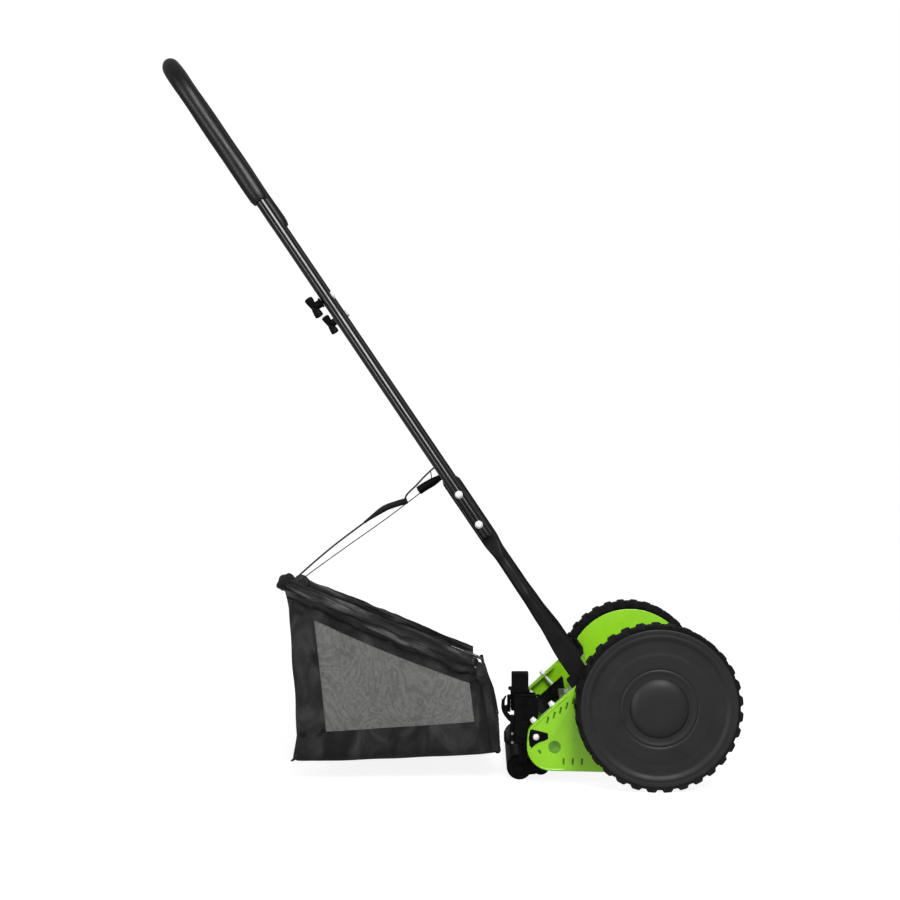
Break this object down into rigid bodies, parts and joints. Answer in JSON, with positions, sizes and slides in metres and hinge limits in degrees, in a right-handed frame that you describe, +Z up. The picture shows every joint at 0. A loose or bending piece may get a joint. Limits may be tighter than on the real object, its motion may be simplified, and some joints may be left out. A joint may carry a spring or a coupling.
{
  "type": "reel mower",
  "caption": "Hand-pushed reel lawn mower with green side plates, lugged wheels, a tube handle with a foam grip, a rear roller and a mesh grass catcher.",
  "frame": {"origin": "on the ground under the centre of the bounding box, in the mower's mid plane", "axes": "+X forward (direction of mowing), +Y to the mower's left, +Z up; the wheel axle lies along Y"},
  "size_m": [0.8026, 0.418, 1.0168],
  "materials": {
    "green_paint": "gloss powder coat",
    "black_paint": "gloss black paint",
    "black_plastic": "moulded",
    "wheel_plastic": "moulded, fine grain",
    "tyre": "moulded tread",
    "foam": "closed-cell foam",
    "fabric": "woven with mesh panels",
    "cord": "braided elastic",
    "zinc": "zinc plated",
    "blade_steel": "ground steel",
    "roller_plastic": "moulded"
  },
  "bodies": {
    "chassis": {"tie_rod": "zinc", "side_plate_right": "green_paint", "side_plate_left": "green_paint", "stub_axle_right": "zinc", "stub_axle_left": "zinc", "handle_stop_right": "black_paint", "handle_stop_left": "black_paint", "handle_pivot_bolt_right": "zinc", "handle_pivot_bolt_left": "zinc", "adjusting_screw_front_right": "zinc", "adjusting_screw_front_left": "zinc", "adjusting_screw_rear_right": "zinc", "adjusting_screw_rear_left": "zinc", "height_housing_right": "black_plastic", "height_housing_left": "black_plastic", "clamp_bolt_right": "zinc", "clamp_bolt_left": "zinc", "catcher_hook_right": "black_plastic", "catcher_hook_left": "black_plastic", "reel_bearing_right": "blade_steel", "reel_bearing_left": "blade_steel"},
    "wheel_right": {"tyre_right": "tyre", "wheel_disc_right": "wheel_plastic", "hub_cap_right": "wheel_plastic"},
    "wheel_left": {"tyre_left": "tyre", "wheel_disc_left": "wheel_plastic", "hub_cap_left": "wheel_plastic"},
    "pinion_right": {"pinion_right": "blade_steel"},
    "pinion_left": {"pinion_left": "blade_steel"},
    "reel": {"reel_shaft": "blade_steel", "reel_spider_right": "blade_steel", "reel_spider_middle": "blade_steel", "reel_spider_left": "blade_steel", "reel_blade_1": "blade_steel", "reel_blade_2": "blade_steel", "reel_blade_3": "blade_steel", "reel_blade_4": "blade_steel", "reel_blade_5": "blade_steel", "pawl_right": "zinc", "pawl_left": "zinc"},
    "bed_knife": {"bed_knife": "blade_steel", "bed_knife_carrier": "black_paint"},
    "carriage": {"roller_bracket_right": "black_plastic", "roller_bracket_left": "black_plastic"},
    "roller": {"roller": "roller_plastic"},
    "handle": {"handle_lower_right": "black_paint", "handle_lower_left": "black_paint", "handle_middle": "black_paint", "handle_upper": "black_paint", "foam_grip": "foam", "joint_bolt_lower_right": "zinc", "joint_bolt_lower_left": "zinc", "joint_bolt_upper_right": "zinc", "joint_bolt_upper_left": "zinc"},
    "knob_right": {"wing_knob_right": "black_plastic"},
    "knob_left": {"wing_knob_left": "black_plastic"},
    "catcher": {"catcher_frame": "black_paint", "catcher_bag": "fabric"},
    "cord": {"catcher_cord": "cord", "cord_hook": "black_plastic"}
  },
  "joints": [
    {"name": "wheel_right_spin", "type": "hinge", "parent": "chassis", "child": "wheel_right", "pos_m": [0.2913, -0.185, 0.11], "axis": [0, 1, 0], "continuous": true},
    {"name": "wheel_left_spin", "type": "hinge", "parent": "chassis", "child": "wheel_left", "pos_m": [0.2913, 0.185, 0.11], "axis": [0, 1, 0], "continuous": true},
    {"name": "pinion_right_spin", "type": "hinge", "parent": "chassis", "child": "pinion_right", "pos_m": [0.23439, -0.172, 0.08298], "axis": [0, 1, 0], "continuous": true},
    {"name": "pinion_left_spin", "type": "hinge", "parent": "chassis", "child": "pinion_left", "pos_m": [0.23439, 0.172, 0.08298], "axis": [0, 1, 0], "continuous": true},
    {"name": "reel_spin", "type": "hinge", "parent": "chassis", "child": "reel", "pos_m": [0.23439, 0, 0.08298], "axis": [0, 1, 0], "continuous": true},
    {"name": "bed_knife_tilt", "type": "hinge", "parent": "chassis", "child": "bed_knife", "pos_m": [0.1733, 0, 0.065], "axis": [0, 1, 0], "range_deg": [0, 1.2]},
    {"name": "height_slide", "type": "slide", "parent": "chassis", "child": "carriage", "axis": [0, 0, 1], "range_m": [0, 0.018]},
    {"name": "roller_spin", "type": "hinge", "parent": "carriage", "child": "roller", "pos_m": [0.1093, 0, 0.0174], "axis": [0, 1, 0], "continuous": true},
    {"name": "handle_pivot", "type": "hinge", "parent": "chassis", "child": "handle", "pos_m": [0.2036, 0, 0.1285], "axis": [0, 1, 0], "range_deg": [-4.5, 9]},
    {"name": "knob_right_turn", "type": "hinge", "parent": "handle", "child": "knob_right", "pos_m": [-0.15773, -0.097, 0.66279], "axis": [0.8284, 0, 0.5602], "continuous": true},
    {"name": "knob_left_turn", "type": "hinge", "parent": "handle", "child": "knob_left", "pos_m": [-0.15773, 0.097, 0.66279], "axis": [0.8284, 0, 0.5602], "continuous": true},
    {"name": "catcher_swing", "type": "hinge", "parent": "chassis", "child": "catcher", "pos_m": [0.0938, 0, 0.062], "axis": [0, 1, 0], "range_deg": [-4.7, 9.4]},
    {"name": "cord_swing", "type": "hinge", "parent": "handle", "child": "cord", "pos_m": [0.0008, 0, 0.42836], "axis": [0, 1, 0], "range_deg": [-4.2, 2.1]}
  ],
  "couplings": [
    {"joint": "pinion_right_spin", "follows": "wheel_right_spin", "ratio": 5.2},
    {"joint": "reel_spin", "follows": "wheel_right_spin", "ratio": 5.2},
    {"joint": "pinion_left_spin", "follows": "wheel_left_spin", "ratio": 5.2},
    {"joint": "catcher_swing", "follows": "handle_pivot", "ratio": 1.037},
    {"joint": "cord_swing", "follows": "handle_pivot", "ratio": -0.463}
  ]
}
